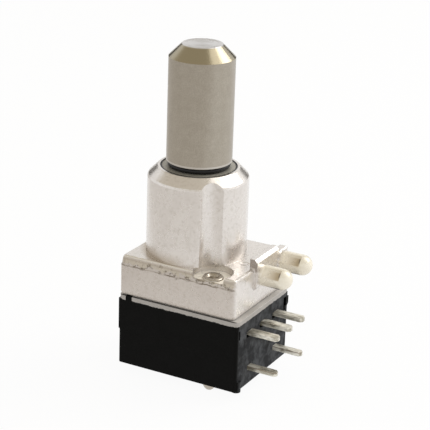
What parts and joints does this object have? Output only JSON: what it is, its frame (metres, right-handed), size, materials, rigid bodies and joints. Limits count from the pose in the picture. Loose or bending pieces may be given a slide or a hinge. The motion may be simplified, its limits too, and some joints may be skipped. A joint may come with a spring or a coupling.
{
  "type": "rotary potentiometer",
  "caption": "Right-angle rotary potentiometer with on/off switch: plain round shaft in a plated die-cast barrel and flange with locating pegs, over a black two-part body with side terminals.",
  "frame": {"origin": "on the shaft axis at the flange's top face, where the barrel starts", "axes": "+Z out of the shaft's tip, +X towards the locating pegs and the terminals, Y across the terminal face"},
  "size_m": [0.0154, 0.0105, 0.0311],
  "materials": {
    "plated_casting": "satin plated die casting with a polished mouth",
    "turned_steel": "fine turned",
    "seal_rubber": "smooth",
    "washer_steel": "stamped",
    "spring_steel": "rolled strip",
    "rotor_plastic": "moulded",
    "contact_brass": "spring strip",
    "grey_plastic": "moulded",
    "wafer_laminate": "phenolic laminate",
    "tinned_brass": "tin plated",
    "black_plastic": "moulded",
    "rivet_metal": "nickel plated"
  },
  "bodies": {
    "body": {"housing": "plated_casting", "seal_washer": "washer_steel", "thrust_washer": "washer_steel", "click_spring": "spring_steel", "spacer_plate": "grey_plastic", "resistor_wafer": "wafer_laminate", "terminal_1": "tinned_brass", "terminal_2": "tinned_brass", "terminal_3": "tinned_brass", "terminal_block": "black_plastic", "switch_terminal_1": "tinned_brass", "switch_terminal_2": "tinned_brass", "switch_case": "black_plastic", "front_rivet": "rivet_metal", "rear_rivet": "rivet_metal"},
    "shaft": {"shaft": "turned_steel", "seal_ring": "seal_rubber", "shaft_clip": "spring_steel", "wiper_rotor": "rotor_plastic", "wiper": "contact_brass", "switch_rotor": "rotor_plastic", "switch_contact": "contact_brass"}
  },
  "joints": [
    {"name": "shaft_turn", "type": "hinge", "parent": "body", "child": "shaft", "pos_m": [0, 0, 0], "axis": [0, 0, -1], "range_deg": [0, 280]}
  ]
}
